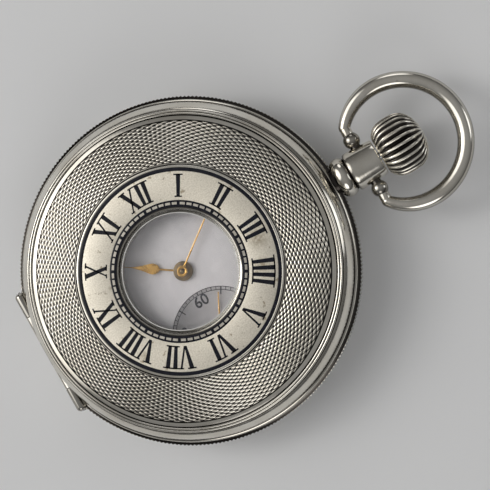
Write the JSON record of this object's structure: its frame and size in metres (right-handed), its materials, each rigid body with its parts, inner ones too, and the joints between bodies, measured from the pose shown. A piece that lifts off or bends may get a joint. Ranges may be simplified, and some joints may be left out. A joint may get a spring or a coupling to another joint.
{
  "type": "half hunter pocket watch",
  "caption": "Round half hunter pocket watch: engine-turned lid with a window inside a numeral ring, reeded band, fluted crown and swinging bow, with a keyless lever movement inside.",
  "frame": {"origin": "middle of the flat on the back cover, on which the watch lies", "axes": "+Z out of the dial, +X through III to the pendant, crown and bow, +Y through XII"},
  "size_m": [0.0695, 0.05, 0.0124],
  "materials": {
    "silver": "polished, warm silver",
    "engraved_silver": "engine-turned silver",
    "case_gilt": "gilt dust cover",
    "glass": "clear mineral glass",
    "steel": "hardened and polished",
    "blued_steel": "blued spring steel",
    "gilt": "gilt, fine matte",
    "wheel_brass": "gilt, circular grain",
    "jewel": "red ruby",
    "enamel": null,
    "hand_gold": "gold, polished"
  },
  "bodies": {
    "case": {"case_middle": "silver", "pendant": "silver", "pendant_collar": "silver", "pendant_sleeve": "steel", "inner_bezel": "silver", "crystal": "glass", "hinge_pins": "steel", "fly_spring": "steel", "main_plate": "gilt", "three_quarter_plate": "gilt", "plate_pillars": "gilt", "movement_screws": "blued_steel", "case_screws": "steel", "jewels": "jewel", "crown_wheel_bridge": "gilt", "click_spring": "blued_steel", "pallet_bridge": "gilt", "balance_cock": "gilt", "dial": "enamel", "hairspring": "blued_steel"},
    "bow": {"bow": "silver"},
    "front_lid": {"front_lid": "engraved_silver", "lid_glass": "glass"},
    "back_cover": {"back_cover": "engraved_silver"},
    "cuvette": {"cuvette": "silver"},
    "winding_pinion": {"winding_pinion": "steel"},
    "stem": {"winding_stem": "steel", "crown": "silver"},
    "sliding_pinion": {"sliding_pinion": "steel"},
    "setting_lever": {"setting_lever": "steel"},
    "yoke": {"yoke": "steel"},
    "lock_spring": {"lock_spring": "steel"},
    "crown_wheel": {"crown_wheel": "steel"},
    "ratchet": {"ratchet_wheel": "steel", "barrel_arbor": "steel", "ratchet_screw": "blued_steel"},
    "click": {"click": "steel"},
    "centre": {"centre_wheel": "wheel_brass", "centre_pinion": "steel", "cannon_pinion": "steel", "minute_hand": "hand_gold"},
    "barrel": {"barrel": "wheel_brass", "barrel_cover": "wheel_brass", "mainspring": "blued_steel"},
    "third": {"third_wheel": "wheel_brass", "third_pinion": "steel"},
    "fourth": {"fourth_wheel": "wheel_brass", "fourth_pinion": "steel", "seconds_hand": "hand_gold"},
    "escape": {"escape_wheel": "steel", "escape_pinion": "steel"},
    "minute_wheel": {"minute_wheel": "wheel_brass"},
    "hour": {"hour_wheel": "wheel_brass", "hour_hand": "hand_gold"},
    "setting_inner": {"setting_wheel_inner": "steel"},
    "setting_outer": {"setting_wheel_outer": "steel"},
    "pallets": {"pallet_fork": "steel"},
    "balance": {"balance_wheel": "wheel_brass", "balance_staff": "steel"},
    "regulator": {"regulator": "steel"}
  },
  "joints": [
    {"name": "bow_swing", "type": "hinge", "parent": "case", "child": "bow", "pos_m": [0.0295, 0, 0.00625], "axis": [0, 1, 0], "range_deg": [-100, 100]},
    {"name": "front_lid_open", "type": "hinge", "parent": "case", "child": "front_lid", "pos_m": [-0.0234, 0, 0.0079], "axis": [0, -1, 0], "range_deg": [0, 95]},
    {"name": "back_cover_open", "type": "hinge", "parent": "case", "child": "back_cover", "pos_m": [-0.0234, 0, 0.0046], "axis": [0, 1, 0], "range_deg": [0, 100]},
    {"name": "cuvette_open", "type": "hinge", "parent": "case", "child": "cuvette", "pos_m": [-0.0234, 0, 0.0046], "axis": [0, 1, 0], "range_deg": [0, 80]},
    {"name": "crown_turn", "type": "hinge", "parent": "case", "child": "winding_pinion", "pos_m": [0.01589, 0, 0.00625], "axis": [1, 0, 0], "continuous": true},
    {"name": "stem_pull", "type": "slide", "parent": "winding_pinion", "child": "stem", "axis": [1, 0, 0], "range_m": [0, 0.0009]},
    {"name": "sliding_pinion_shift", "type": "slide", "parent": "winding_pinion", "child": "sliding_pinion", "axis": [-1, 0, 0], "range_m": [0, 0.0007]},
    {"name": "setting_lever_turn", "type": "hinge", "parent": "case", "child": "setting_lever", "pos_m": [0.01845, 0.00292, 0.0079], "axis": [0, 0, 1], "range_deg": [0, 18]},
    {"name": "yoke_turn", "type": "hinge", "parent": "case", "child": "yoke", "pos_m": [0.01491, -0.00334, 0.0079], "axis": [0, 0, 1], "range_deg": [0, 14]},
    {"name": "lock_spring_flex", "type": "hinge", "parent": "case", "child": "lock_spring", "pos_m": [0.01866, 0.01166, 0.00625], "axis": [0, 0, 1], "range_deg": [-1.2, 0]},
    {"name": "crown_wheel_spin", "type": "hinge", "parent": "case", "child": "crown_wheel", "pos_m": [0.01241, 0, 0.0035], "axis": [0, 0, 1], "continuous": true},
    {"name": "ratchet_spin", "type": "hinge", "parent": "case", "child": "ratchet", "pos_m": [0.00598, 0.00887, 0.003], "axis": [0, 0, 1], "continuous": true},
    {"name": "click_lift", "type": "hinge", "parent": "case", "child": "click", "pos_m": [-0.00324, 0.01016, 0.0028], "axis": [0, 0, 1], "range_deg": [0, 12]},
    {"name": "centre_spin", "type": "hinge", "parent": "case", "child": "centre", "pos_m": [0, 0, 0.005], "axis": [0, 0, 1], "continuous": true},
    {"name": "barrel_spin", "type": "hinge", "parent": "case", "child": "barrel", "pos_m": [0.00598, 0.00887, 0.0054], "axis": [0, 0, 1], "continuous": true},
    {"name": "third_spin", "type": "hinge", "parent": "case", "child": "third", "pos_m": [0.00407, -0.00594, 0.005], "axis": [0, 0, 1], "continuous": true},
    {"name": "fourth_spin", "type": "hinge", "parent": "case", "child": "fourth", "pos_m": [0, -0.01051, 0.005], "axis": [0, 0, 1], "continuous": true},
    {"name": "escape_spin", "type": "hinge", "parent": "case", "child": "escape", "pos_m": [-0.00569, -0.01151, 0.005], "axis": [0, 0, 1], "continuous": true},
    {"name": "minute_wheel_spin", "type": "hinge", "parent": "case", "child": "minute_wheel", "pos_m": [0.00314, -0.0022, 0.0075], "axis": [0, 0, 1], "continuous": true},
    {"name": "hour_spin", "type": "hinge", "parent": "case", "child": "hour", "pos_m": [0, 0, 0.0085], "axis": [0, 0, 1], "continuous": true},
    {"name": "setting_inner_spin", "type": "hinge", "parent": "case", "child": "setting_inner", "pos_m": [0.00793, -0.00202, 0.0074], "axis": [0, 0, 1], "continuous": true},
    {"name": "setting_outer_spin", "type": "hinge", "parent": "case", "child": "setting_outer", "pos_m": [0.0112, 0, 0.0074], "axis": [0, 0, 1], "continuous": true},
    {"name": "pallets_rock", "type": "hinge", "parent": "case", "child": "pallets", "pos_m": [-0.00769, -0.00978, 0.005], "axis": [0, 0, 1], "range_deg": [-5, 5]},
    {"name": "balance_swing", "type": "hinge", "parent": "case", "child": "balance", "pos_m": [-0.01158, -0.00642, 0.0035], "axis": [0, 0, 1], "range_deg": [-270, 270], "stiffness_Nm_per_rad": 0.00000025},
    {"name": "regulator_turn", "type": "hinge", "parent": "case", "child": "regulator", "pos_m": [-0.01158, -0.00642, 0.0021], "axis": [0, 0, 1], "range_deg": [-20, 20]}
  ],
  "couplings": [
    {"joint": "cuvette_open", "follows": "back_cover_open", "ratio": 0.8},
    {"joint": "sliding_pinion_shift", "follows": "stem_pull", "ratio": 0.7778},
    {"joint": "setting_lever_turn", "follows": "stem_pull", "rad_per_m": 342},
    {"joint": "yoke_turn", "follows": "stem_pull", "rad_per_m": 265},
    {"joint": "crown_wheel_spin", "follows": "crown_turn", "ratio": 0.5},
    {"joint": "ratchet_spin", "follows": "crown_turn", "ratio": -0.33333},
    {"joint": "barrel_spin", "follows": "centre_spin", "ratio": -0.125},
    {"joint": "third_spin", "follows": "centre_spin", "ratio": -8},
    {"joint": "fourth_spin", "follows": "centre_spin", "ratio": 60},
    {"joint": "escape_spin", "follows": "centre_spin", "ratio": -600},
    {"joint": "minute_wheel_spin", "follows": "centre_spin", "ratio": -0.33333},
    {"joint": "hour_spin", "follows": "centre_spin", "ratio": 0.083333},
    {"joint": "setting_inner_spin", "follows": "centre_spin", "ratio": 0.5},
    {"joint": "setting_outer_spin", "follows": "centre_spin", "ratio": -0.5}
  ]
}
